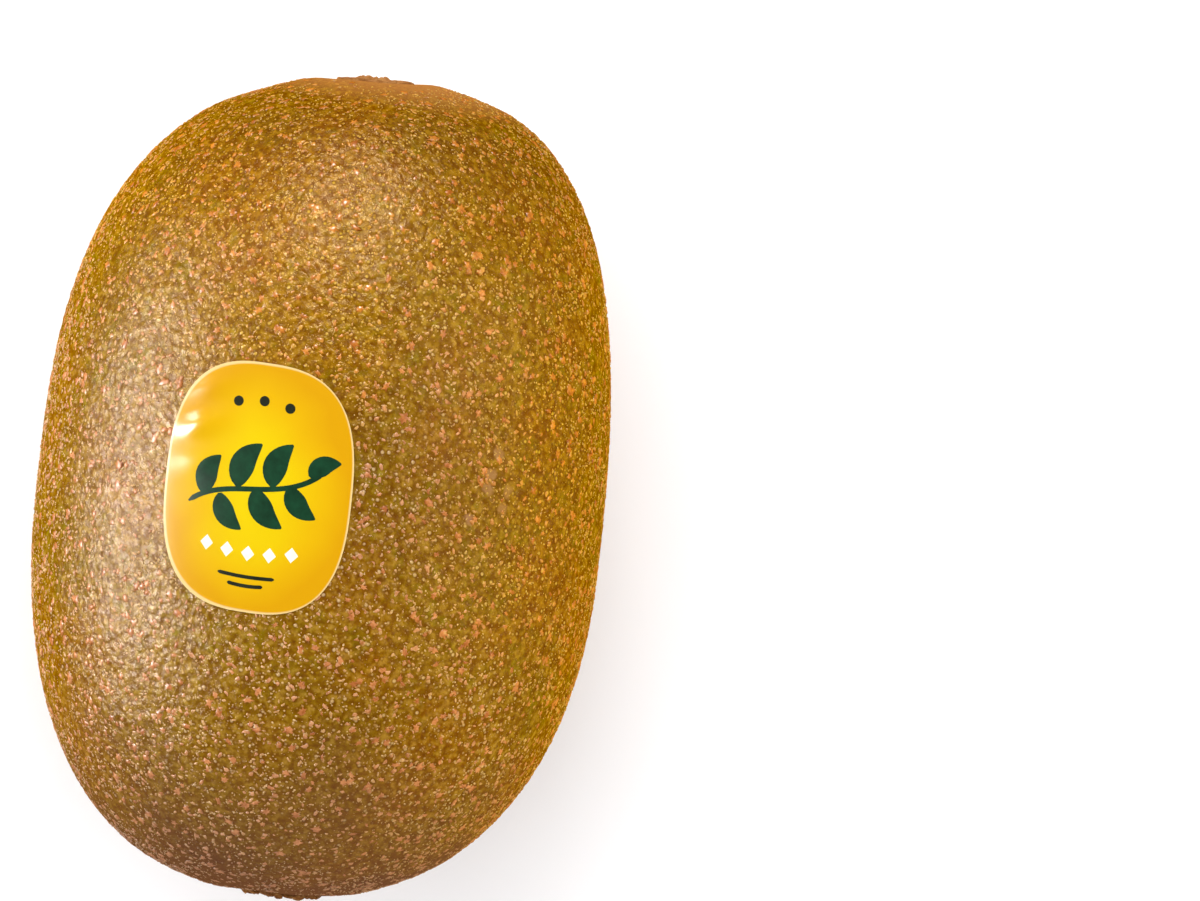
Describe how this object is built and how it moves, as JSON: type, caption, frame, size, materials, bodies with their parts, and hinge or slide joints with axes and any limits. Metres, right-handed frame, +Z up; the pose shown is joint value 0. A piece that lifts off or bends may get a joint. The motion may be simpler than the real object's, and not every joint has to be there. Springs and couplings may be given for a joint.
{
  "type": "golden kiwifruit",
  "caption": "Whole golden kiwifruit lying on its side, with smooth speckled skin, stem scar, dried styles and a plain oval label.",
  "frame": {"origin": "middle of the underside of the bounding box, on the surface that the fruit lies on", "axes": "+Z up, +Y along the fruit towards its stem end, +X across it"},
  "size_m": [0.0486, 0.0704, 0.0458],
  "materials": {
    "skin": "waxy satin olive-gold skin, thick with raised tan and orange specks",
    "scar": "dry, dull, corky red-brown",
    "styles": "dry, dull, dark brown",
    "label": null
  },
  "bodies": {
    "root": {"kiwi_fruit": "skin", "stem_scar": "scar", "style_remnant": "styles", "label": "label"}
  },
  "joints": []
}
